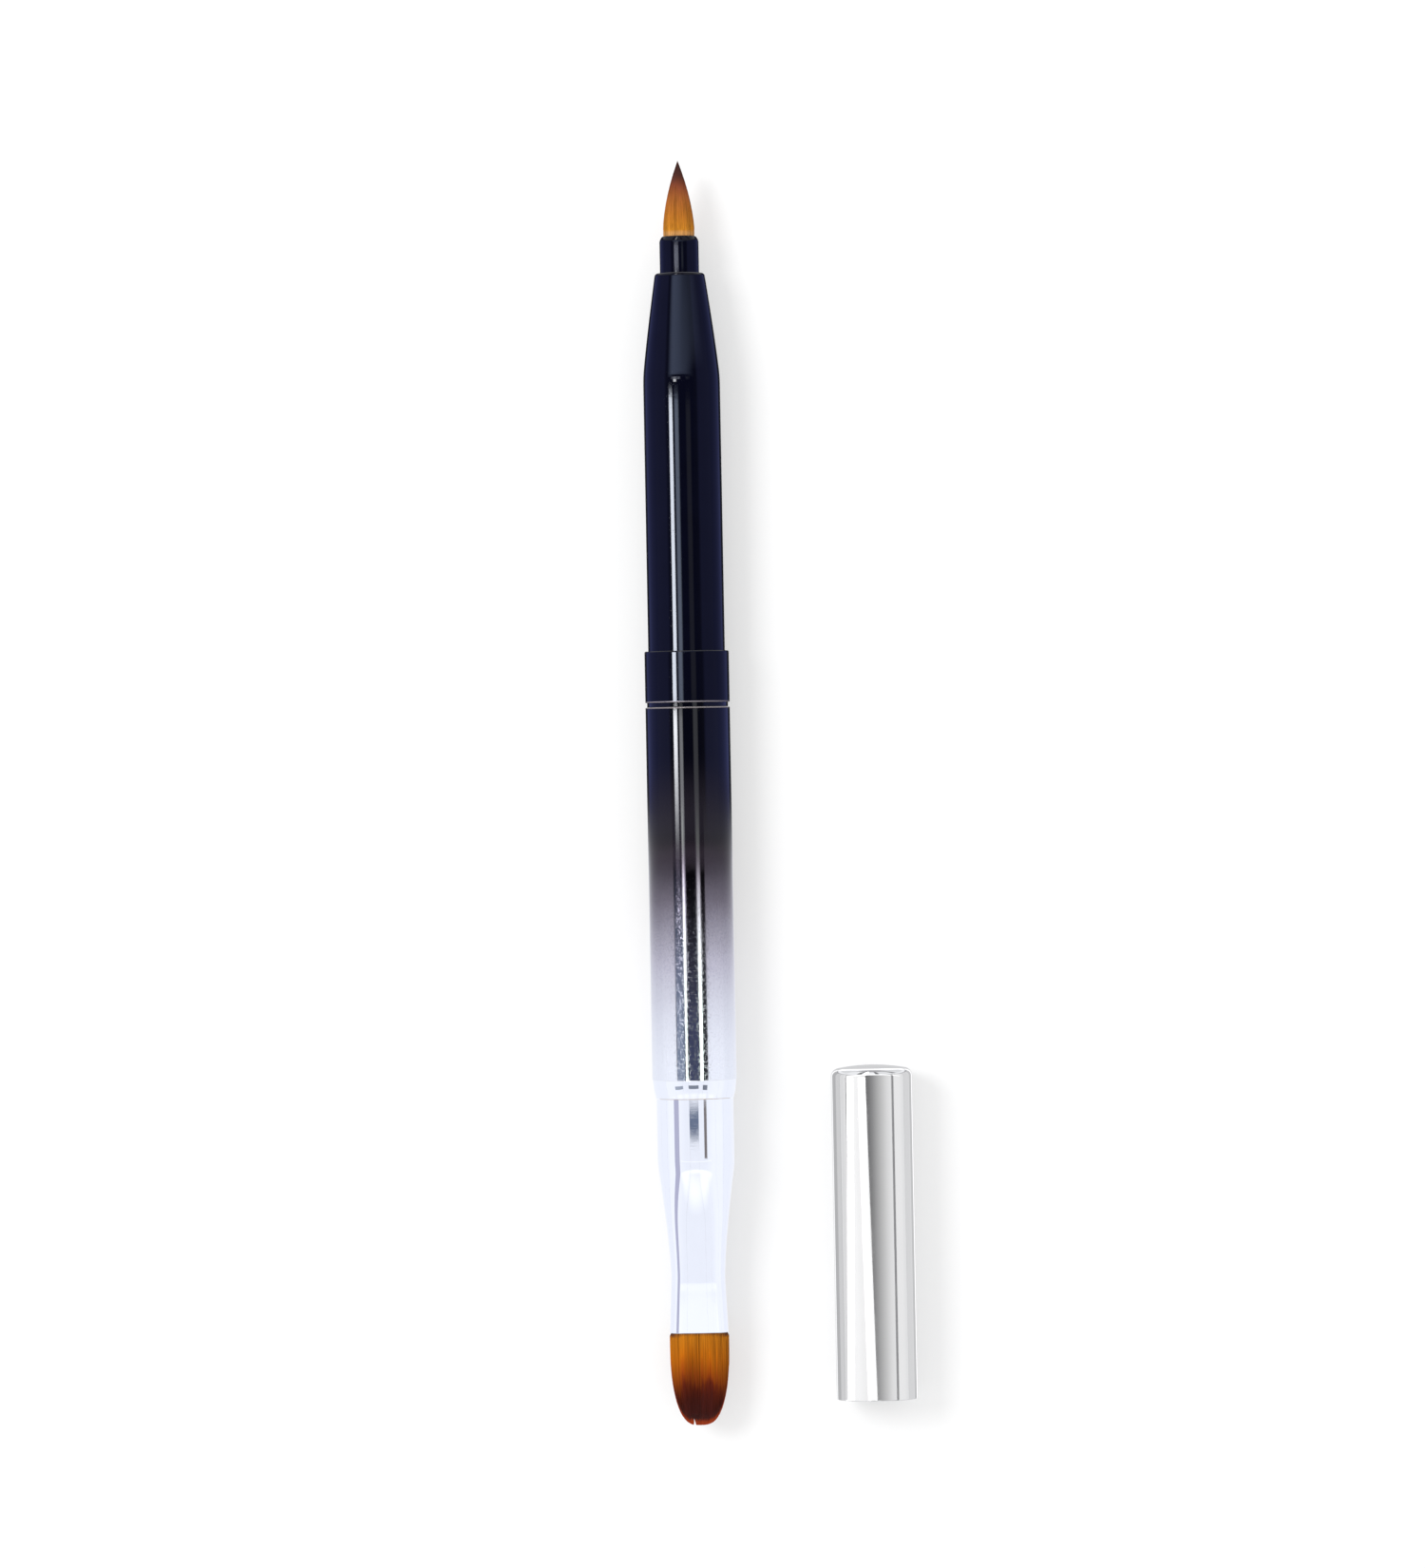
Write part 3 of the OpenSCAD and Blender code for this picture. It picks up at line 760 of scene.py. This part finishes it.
def make_oval_tuft(rng):
    """A flat tuft whose strands stop along a blunt oval, with a small parting near its middle."""
    length = MOUTH_Y - OVAL_TIP
    straight, swell = 3.0, 0.45
    mouth_w = MOUTH_HALF_W - FERRULE_WALL - RUN_GAP
    mouth_t = MOUTH_HALF_T - FERRULE_WALL - RUN_GAP
    parting_x, parting_deep, parting_half = -0.78, 1.0, 0.15
    gather = 0.5  # how far strands lean in to follow the outline
    close_power, round_power = 1.9, 0.34  # how the outline closes to its blunt tip
    count = 2700

    def outer_w(d):
        spread = mouth_w + (OVAL_HALF_W - mouth_w) * np.sin(np.pi / 2 * np.clip(d / swell, 0, 1))
        close = np.clip((d - straight) / (length - straight), 0, 1)
        return np.where(d < straight, spread, OVAL_HALF_W * (1 - close ** close_power) ** round_power)

    def outer_t(d):
        t = np.clip(d / length, 0, 1)
        return 0.28 + (mouth_t - 0.28) * (1 - t ** 2.2) ** 0.6

    turn = rng.uniform(0, 2 * np.pi, count)
    share = 1 - 0.20 * rng.random(count) ** 1.5
    side = np.cos(turn) * share  # -1 to 1 across the width
    edge = np.clip(np.abs(side), 0, 0.995)
    # a strand leans in by the share gather, and stops where it meets the outline
    meets = edge * (1 - gather) / (1 - gather * edge)
    reach = straight + (length - straight) * (1 - meets ** (1 / round_power)) ** (1 / close_power)
    end = reach * (1 - 0.03 * rng.random(count) ** 2)
    t, d = strand_stations(end)
    lean_in = (1 - gather) * np.minimum(outer_w(np.minimum(d, straight)), OVAL_HALF_W) + gather * outer_w(d)
    x = side[:, None] * lean_in
    z = np.sin(turn)[:, None] * share[:, None] * outer_t(d)
    # the parting: strands near it lean away over the last stretch
    lean = np.clip((d - (length - parting_deep)) / parting_deep, 0, 1) ** 0.8
    off = x - parting_x
    x = x + np.sign(off) * parting_half * lean * np.exp(-(off / 0.4) ** 2)
    paths = np.stack([x, MOUTH_Y - d, z], axis=-1)
    thick = (0.055 + 0.02 * rng.random(count))[:, None] * (1 - 0.72 * t ** 3)
    root_w, root_t = 3.1, 2.0
    sections = [(OVAL_ROOT, root_w, root_t, 0.0), (MOUTH_Y + 2.5, root_w, mouth_t, 0.0)]
    for out in np.linspace(STRAND_START, 0.90 * length, 24):
        core_w, core_t = (CORE_SHARE * float(half(out)) for half in (outer_w, outer_t))
        sections.append((MOUTH_Y - out, core_w, core_t, max(0.05, out / length)))
    return tuft("oval_tuft", core_rings(sections), paths, thick, d, end, length, rng.random(count))


# -------- the object

def build_object():
    """Makes the pieces that show, dresses the others, and returns the first by the names of their nodes."""
    lacquer = black_lacquer()
    plate = bright_plate()
    pieces = {}
    for node, body, piece, material, slot in (
            ("body_tube", "handle", make_body_tube(), fading_lacquer(), "fading_lacquer"),
            ("collar", "handle", make_collar(), lacquer, "black_lacquer"),
            ("sleeve_tube", "sleeve", make_sleeve_tube(), lacquer, "black_lacquer"),
            ("point_ferrule", "handle", make_point_ferrule(), lacquer, "black_lacquer"),
            ("tail_ring", "handle", make_tail_ring(), plate, "bright_plate"),
            ("oval_ferrule", "handle", make_oval_ferrule(), plate, "bright_plate"),
            ("cap_shell", "cap", make_cap(), cap_plate(), "cap_plate"),
            ("point_hair", "handle", make_point_tuft(np.random.default_rng(11)), point_hair(), "point_hair"),
            ("oval_hair", "handle", make_oval_tuft(np.random.default_rng(12)), oval_hair(), "oval_hair")):
        piece.data.materials.append(material)
        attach(piece, body)
        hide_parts(node)
        pieces[node] = piece
    # the brush and its cap stand apart in their own light, so they don't mirror each other
    for mirrored in (*pieces.values(), *dress_hidden_nodes()):
        mirrored.visible_glossy = False
    return pieces


def dress_hidden_nodes():
    """Gives the inner pieces, which keep their CAD meshes, materials of their own, and returns them."""
    plastic = moulded_plastic("white_plastic", (0.82, 0.82, 0.79))
    resin, thread = set_resin(), waxed_thread()
    looks = {"centre_plug": plastic, "guide_bush": plastic, "stop_ring": plastic, "rod": bare_aluminium(),
             "nose_bush": moulded_plastic("dark_plastic", (0.028, 0.028, 0.032)),
             "friction_ring": soft_rubber(), "tail_dowel": dowel_wood(), "point_resin": resin,
             "oval_resin": resin, "point_tie": thread, "oval_tie": thread}
    for node, material in looks.items():
        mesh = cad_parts[node].data
        mesh.materials.clear()
        mesh.materials.append(material)
    return [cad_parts[node] for node in looks]


# -------- studio

def make_floor():
    """A card 1.8 m wide, just under the brush and its cap."""
    bm = bmesh.new()
    bmesh.ops.create_grid(bm, x_segments=12, y_segments=12, size=900)
    floor = finish_mesh("floor", bm)
    floor.location.z = (TABLE_Z - 0.01) * MM
    floor.data.materials.append(floor_card())
    floor.visible_glossy = False


def floor_card():
    """Pale card that glows a little, so that shadows stay faint."""
    look = Look("floor_card")
    tooth = look.noise(0.9, 4.0, 0.6)
    look.set(Base_Color=look.mix(tooth, (0.485, 0.487, 0.49), (0.50, 0.50, 0.50)), Roughness=0.9,
             Specular_IOR_Level=0.0, Normal=look.bump(tooth, 0.04, 0.05),
             Emission_Color=(1.0, 1.0, 1.0), Emission_Strength=0.45)
    return look.material


# As a mirrored ray turns towards Y, its y part passes through these ranges. Over the first it comes to see
# the bright room, and over the second the panels on the room's walls.
ROOM_FROM = (0.40, 0.54)
PANELS_FROM = (0.55, 0.66)
# brightness of the walls by angle round the brush, in degrees from straight up, positive towards +X
PANELS = ((-180, 0.8), (-95, 0.8), (-92, 0.95), (-52, 0.95), (-49, 0.16), (-36, 0.16), (-33, 1), (10, 1),
          (13, 0.2), (23, 0.2), (26, 0.85), (68, 0.85), (72, 0.34), (86, 0.34), (90, 0.8), (180, 0.8))


def studio_walls(graph, x, y, z):
    """What a mirror sees of the room: white panels with dark gaps, set out by angle round the brush."""
    turn = graph.math("ARCTAN2", x, z)
    share = graph.remap(turn, -math.pi, math.pi, smooth=False)
    walls = graph.ramp(share, [((a + 180) / 360, (0.96 * v, 0.97 * v, v)) for a, v in PANELS])
    # a narrow lamp hangs 22 degrees to the left
    off_lamp = graph.math("ABSOLUTE", graph.plus(turn, math.radians(22)))
    lamp = graph.remap(off_lamp, math.radians(6), math.radians(3), 0, 9)
    walls = graph.vector("ADD", walls, lamp)
    along = graph.math("ABSOLUTE", y)
    walls = graph.mix(graph.remap(along, *PANELS_FROM), (0.96, 0.97, 1.0), walls)
    # seen nearly along the brush, the room is an even grey
    return graph.mix(graph.remap(along, 0.90, 0.99), walls, (0.42, 0.42, 0.44))


def make_world():
    """A white room. A mirror that faces up sees it dim, and takes its light from the strips instead."""
    world = bpy.data.worlds.new("studio")
    scene.world = world
    world.use_nodes = True
    world.cycles.sampling_method = "NONE"
    world.node_tree.nodes.clear()
    graph = Graph(world.node_tree)
    x, y, z = graph.split(graph.node("TexCoord")["Generated"])
    dim = graph.ramp(graph.remap(z, -1, 1, smooth=False), [
        (0.46, (0.045, 0.047, 0.06)), (0.54, (0.10, 0.10, 0.11)), (0.80, (0.10, 0.10, 0.11)),
        (0.94, (0.025, 0.025, 0.03))])
    along = graph.remap(graph.math("ABSOLUTE", y), *ROOM_FROM)
    mirrored = graph.mix(along, dim, studio_walls(graph, x, y, z))
    path = graph.node("LightPath")
    room = graph.mix(path["Is Glossy Ray"], (0.95, 0.95, 0.95), mirrored)
    room = graph.mix(path["Is Camera Ray"], room, (1, 1, 1))
    graph.node("OutputWorld", graph.node("Background", room)[0])


EYE_Y, EYE_HEIGHT = -10.4, 1136.7  # the camera's station, and its height over the axis
STRIP_AWAY = 250.0  # distance of the strip lights from the axis they surround
# how far along Y from a mirror the room starts to take over from the strips, and has done so
HANDOVER = tuple(STRIP_AWAY * s / math.sqrt(1 - s * s) for s in ROOM_FROM)


def both(share):
    """A pair as it is, and a single share twice."""
    return share if isinstance(share, tuple) else (share, share)


def strip(receivers, angles, seen, radiance, tint=(1, 1, 1), axis=(0.0, 0.0), lean=(0.0, 0.0),
          soft=(0.1, 0.05), slant=0.0):
    """A soft box over the object, seen only in the reflections of its receivers.

    angles are its two edges round the axis, in degrees from straight up, positive towards +X.
    seen are the two stations between which it shows in a straight polished tube.
    radiance is its brightness, where 1 is white in a perfect mirror, and tint its colour.
    axis is the x and z of the line it surrounds.
    lean is how many degrees the surface tips forward at each of the two stations, where it isn't straight.
    soft is the share of its width and of its length over which it fades out, each a number or a pair.
    slant turns it in its own plane, in degrees.
    """
    low, high = (math.radians(a) for a in angles)
    middle = (low + high) / 2
    ends = sorted(y + STRIP_AWAY * ((y - EYE_Y) / EYE_HEIGHT + math.tan(2 * math.radians(tip)))
                  for y, tip in zip(seen, lean))
    width = 2 * STRIP_AWAY * math.tan((high - low) / 2) * MM
    length = (ends[1] - ends[0]) * MM
    light = bpy.data.lights.new("strip", "AREA")
    light.shape = "RECTANGLE"
    light.size, light.size_y = width, length
    light.energy = radiance * math.pi * width * length
    light.color = tint
    fade_out(light, both(soft[0]), both(soft[1]))
    lamp = link_new("strip", light)
    lamp.location = Vector((axis[0] + STRIP_AWAY * math.sin(middle), sum(ends) / 2,
                            axis[1] + STRIP_AWAY * math.cos(middle))) * MM
    turned = Matrix.Rotation(middle, 4, "Y") @ Matrix.Rotation(math.radians(slant), 4, "Z")
    lamp.rotation_euler = turned.to_euler()
    lamp.visible_camera = False
    lamp.light_linking.receiver_collection = receivers


def fade_out(light, sides, ends):
    """Makes an area light fade out near its two sides and near its rear and front ends."""
    light.use_nodes = True
    graph = Graph(light.node_tree)
    across, along, _ = graph.split(graph.node("NewGeometry")["Parametric"])
    strength = 1.0
    for share, (first, last) in ((across, sides), (along, ends)):
        strength = graph.times(strength, graph.remap(share, 0.0, first))
        strength = graph.times(strength, graph.remap(share, 1.0, 1.0 - last))
    emission = next(n for n in light.node_tree.nodes if n.type == "EMISSION")
    graph.put(emission.inputs["Strength"], strength)


def collection(name, members):
    group = bpy.data.collections.new(name)
    for piece in members:
        group.objects.link(piece)
    return group


LAVENDER = (0.93, 0.95, 1.0)
NEUTRAL = (0.95, 1.05, 0.93)  # cancels the bluish plate
NAVY = (0.29, 0.34, 1.0)
SLATE = (0.68, 0.84, 1.28)
# wide dim strips low on both sides, and how softly their left and right sides fade
SIDES = (((-146, -46), (0.12, 0.15)), ((42, 146), (0.15, 0.12)))
SIDE_RADIANCE = 0.60


def light_lacquer(pieces):
    """Long thin highlights on the black tubes, left of their middle line."""
    group = collection("lacquered", [pieces[n] for n in ("collar", "sleeve_tube", "point_ferrule")])
    tube = (-1, 40.4)
    strip(group, (-41, -27.5), tube, 44, (0.88, 0.94, 1.06), soft=(0.25, 0.02))
    strip(group, (-25.5, -8.5), tube, 6.4, (0.76, 0.90, 1.2), soft=(0.35, 0.02))
    strip(group, (8.5, 27), tube, 0.5, LAVENDER, soft=(0.3, 0.05))
    # the taper leans forward, so it sees strips of its own
    taper, lean = (42.8, 59.0), (3.0, 10.5)
    strip(group, (-44, 40), taper, 3.0, SLATE, lean=lean, soft=((0.25, 0.75), 0.12))
    strip(group, (2, 82), (46, 58.0), 0.9, SLATE, lean=(4.6, 10), soft=((0.5, 0.6), 0.4))
    # a glint where the taper starts
    strip(group, (-27, -14), (41.6, 42.3), 34, LAVENDER, lean=(0.9, 2.0), soft=(0.4, 0.3))
    point = (56.3, 60.4)
    strip(group, (-34, -1), point, 8.0, (0.85, 0.90, 1.1), soft=(0.25, 0.15))
    strip(group, (10, 26), point, 0.9, (0.85, 0.95, 1.1), soft=(0.3, 0.15))
    for angles, sides in SIDES:
        strip(group, angles, (-30, 80), SIDE_RADIANCE, NAVY, lean=(0, 9), soft=(sides, 0.05))


def light_tube(pieces):
    """The same highlights over the fading tube, and white walls all round its plated end."""
    group = collection("fading", [pieces["body_tube"]])
    strip(group, (-41, -27.5), (-22, TUBE_FRONT), 38, LAVENDER, soft=(0.25, (0.95, 0.02)))
    strip(group, (-25, -13), (-33, TUBE_FRONT), 6.5, LAVENDER, soft=(0.25, (0.60, 0.02)))
    strip(group, (12, 28), (-33, 2), 1.3, LAVENDER, soft=(0.25, (0.30, 0.02)))
    for angles, sides in SIDES:
        strip(group, angles, (-20, 3), SIDE_RADIANCE, NAVY, soft=(sides, (0.6, 0.02)))
    # white walls, grey gaps and bright lines, but for the stations that the black end mirrors
    for angles, radiance, tint, edge in (
            ((-180, -48), 0.90, LAVENDER, 0.003), ((-48, -23), 0.20, (0.75, 0.95, 1.35), 0.12),
            ((-22.5, -16.5), 1.9, NEUTRAL, 0.15), ((16, 25), 3.0, NEUTRAL, 0.15),
            ((38, 180), 0.90, LAVENDER, 0.003)):
        for part in parts(angles):
            strip(group, part, (-162, -11), radiance, tint, soft=(edge, (0.28, 0.08)))
            strip(group, part, (6, 102), radiance, tint, soft=(edge, (0.13, 0.44)))
    # the two bright lines need more light where lacquer is left, and the dark band between them is bluish
    lines = (-36, -11)
    strip(group, (-22.5, -17.5), lines, 4.0, NEUTRAL, soft=(0.2, 0.2))
    strip(group, (-14, 15), (-70, -32), 0.05, (0.5, 0.65, 1.6), soft=(0.1, 0.2))
    strip(group, (17, 24), lines, 5.0, NEUTRAL, soft=(0.2, 0.2))


SEAM = 0.004  # a nearly hard edge, for strips that meet edge to edge
WHITE = 0.99  # the radiance of a strip as white as the room


def parts(angles, widest=36):
    """A wide range of angles as equal narrow ones, so that flat strips follow a circle."""
    count = math.ceil((angles[1] - angles[0]) / widest)
    edges = [angles[0] + (angles[1] - angles[0]) * k / count for k in range(count + 1)]
    return list(zip(edges, edges[1:]))


def station_box(receivers, angles, stations, radiance, tint, fade, **more):
    """A strip given by its own stations, and by the lengths over which its rear and front fade."""
    shift = STRIP_AWAY / EYE_HEIGHT
    seen = [(y + shift * EYE_Y) / (1 + shift) for y in stations]
    ends = tuple(length / (stations[1] - stations[0]) for length in fade)
    strip(receivers, angles, seen, radiance, tint, soft=(SEAM, ends), **more)


def wall(receivers, angles, middle, gap=None, shade=WHITE, tint=LAVENDER):
    """Strips that reach, in a mirror at station middle, as far as the room's white.

    They have the shade and tint all along, or in a gap between two stations only, and are white beyond it.
    """
    rear, front = middle - HANDOVER[1], middle + HANDOVER[1]
    fade, crisp = HANDOVER[1] - HANDOVER[0], 0.3
    if gap is None:
        for part in parts(angles):
            station_box(receivers, part, (rear, front), shade, tint, (fade, fade))
        return
    station_box(receivers, angles, gap, shade, tint, (crisp, crisp))
    station_box(receivers, angles, (rear, gap[0]), WHITE, LAVENDER, (fade, crisp))
    station_box(receivers, angles, (gap[1], front), WHITE, LAVENDER, (crisp, fade))


def light_ring(pieces):
    """White all round the tail ring, but for gaps that it bends into three small marks."""
    group = collection("ring", [pieces["tail_ring"]])
    for angles in ((-180, -57), (-33, -17), (11, 23), (36, 180)):
        wall(group, angles, RING_REAR)
    for angles, gap, shade in (
            ((-57, -33), (-130, -105), 0.36), ((-17, 11), (-132, -103), 0.24), ((23, 36), (-138, -100), 0.2)):
        wall(group, angles, RING_REAR, gap, shade, (0.85, 0.95, 1.15))


def light_ferrule(pieces):
    """White all round the oval ferrule, but for two thin grey gaps and a short dark one overhead."""
    group = collection("ferrule", [pieces["oval_ferrule"]])
    middle = (MOUTH_Y + BAND_FRONT) / 2
    left, overhead, right = (-66, -50), (-17, 10), (26, 34)
    wall(group, left, middle, shade=0.45, tint=(0.90, 0.90, 1.2))
    wall(group, overhead, middle, (-66.2, -61.6), 0.17, (0.70, 0.92, 1.4))
    wall(group, right, middle, (-72, -60), 0.16, (1.15, 1.0, 0.95))
    for angles in ((-180, left[0]), (left[1], overhead[0]), (overhead[1], right[0]), (right[1], 180)):
        wall(group, angles, middle)
    # lifts the flat face to white near its mouth
    strip(group, (-50, 50), (-84, -75.5), 0.12, soft=(0.1, 0.1))


def light_cap(pieces):
    """Grey and white walls round the cap, whose white one widens towards its mouth."""
    group = collection("capped", [pieces["cap_shell"]])
    axis = (CAP_X, CAP_Z)
    white = 0.92
    for angles, radiance, edge in (
            ((-165, -126), 0.44, 0.1), ((-130, -100), 0.62, 0.2), ((-104, -79), 0.72, 0.1),
            ((-79, -18), white, 0.03), ((-18, 57), 0.16, 0.02), ((-16, 57), 0.56, (0.88, 0.02)),
            ((57, 62.5), 0.20, 0.05), ((62.5, 100), 0.78, 0.03), ((98, 132), 0.68, 0.1),
            ((128, 165), 0.54, 0.1)):
        strip(group, angles, (-190, 60), radiance, axis=axis, soft=(edge, (0.16, 0.02)))
    # slanted edges make the white one widen
    for angles, slant in (((-20, -6), 57), ((-88, -74.5), -56)):
        station_box(group, angles, (-260, 40), white, (1, 1, 1), (50, 50), axis=axis, slant=slant)
    # what the rounded edge of the closed end mirrors, and the cap's underside
    strip(group, (-88, 88), (60, 112), 0.62, axis=axis, soft=(0.05, 0.05))
    strip(group, (150, 210), (-190, 420), 0.62, axis=axis, soft=(0.02, 0.02))


def make_key_light():
    """A soft lamp up on the left, which casts the faint shadows on the floor."""
    key = bpy.data.lights.new("key", "AREA")
    key.shape = "DISK"
    key.size = 350 * MM
    key.energy = 3.2
    lamp = link_new("key", key)
    lamp.location = Vector((-450, 150, 650)) * MM
    lamp.rotation_euler = (-lamp.location).to_track_quat("-Z", "Y").to_euler()
    lamp.visible_camera = False
    lamp.visible_glossy = False


def make_camera():
    """Straight down on the brush, through a long lens, turned a degree so that its tip leans left."""
    covered = 204.6  # what the longer side of the view takes in at the brush, in mm
    sensor = 36.0
    data = bpy.data.cameras.new("camera")
    data.lens = sensor * EYE_HEIGHT / covered
    data.sensor_width = sensor
    data.clip_end = 10
    camera = link_new("camera", data)
    camera.location = Vector((3.06, EYE_Y, EYE_HEIGHT)) * MM
    camera.rotation_euler = (0, 0, math.radians(-1.07))
    scene.camera = camera


pieces = build_object()
make_floor()
make_world()
for light in (light_lacquer, light_tube, light_ring, light_ferrule, light_cap):
    light(pieces)
make_key_light()
make_camera()
scene.view_settings.view_transform = "Standard"
